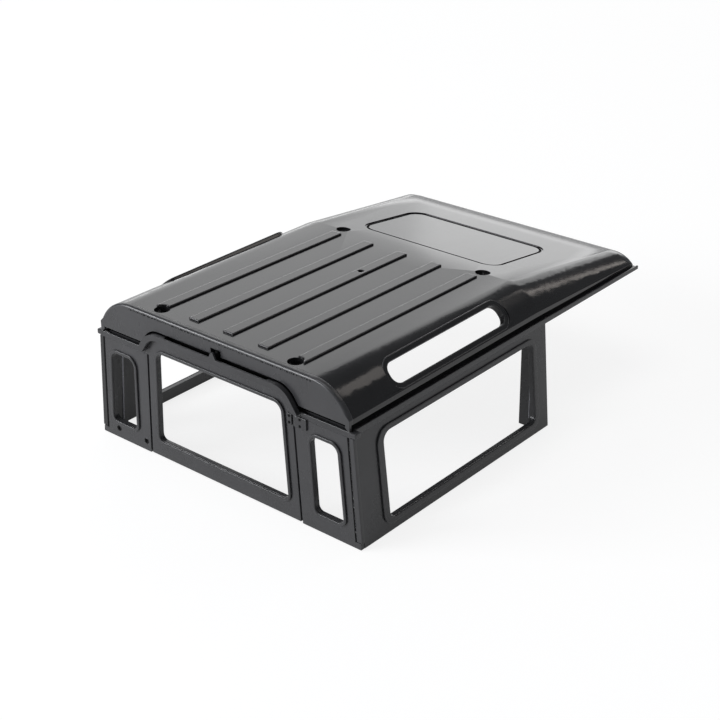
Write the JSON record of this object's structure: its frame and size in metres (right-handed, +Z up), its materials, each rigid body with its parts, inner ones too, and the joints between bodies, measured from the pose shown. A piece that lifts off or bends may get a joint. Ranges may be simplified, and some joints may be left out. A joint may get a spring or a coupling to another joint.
{
  "type": "scale model truck canopy",
  "caption": "Moulded black hard top for a scale model pickup: ribbed roof with sloping front, sunken hatch, drip rails, open windows and a raised arch over the rear door.",
  "frame": {"origin": "centre of the footprint's bounding box, on the plane the wall bottoms stand on", "axes": "+X to the vehicle's right, +Y towards the vehicle's front, +Z up"},
  "size_m": [0.1718, 0.2347, 0.0777],
  "materials": {
    "wall_plastic": "satin black moulded plastic",
    "rim_plastic": "satin black moulded plastic",
    "rail_plastic": "satin black moulded plastic",
    "roof_plastic": "glossy black moulded plastic"
  },
  "bodies": {
    "root": {"rear_quarter_left": "wall_plastic", "rear_quarter_right": "wall_plastic", "rear_door_frame": "wall_plastic", "window_rim_door": "rim_plastic", "window_rim_quarter_left": "rim_plastic", "window_rim_quarter_right": "rim_plastic", "hinge_door_leaf": "rim_plastic", "hinge_body_leaf": "rim_plastic", "side_panel_left": "wall_plastic", "side_panel_right": "wall_plastic", "window_rim_side_left": "rim_plastic", "window_rim_side_right": "rim_plastic", "drip_rail_rear_left": "rail_plastic", "drip_rail_rear_right": "rail_plastic", "drip_rail_arch": "rail_plastic", "drip_rail_side_left": "rail_plastic", "drip_rail_side_right": "rail_plastic", "roof_shell": "roof_plastic", "roof_end_cap": "wall_plastic", "roof_ribs": "roof_plastic", "hatch_frame": "roof_plastic", "hatch_panel": "roof_plastic", "window_rim_high_left": "rim_plastic", "window_rim_high_right": "rim_plastic", "pillar_flange_left": "wall_plastic", "pillar_flange_right": "wall_plastic", "corner_return_left": "wall_plastic", "corner_return_right": "wall_plastic"}
  },
  "joints": []
}
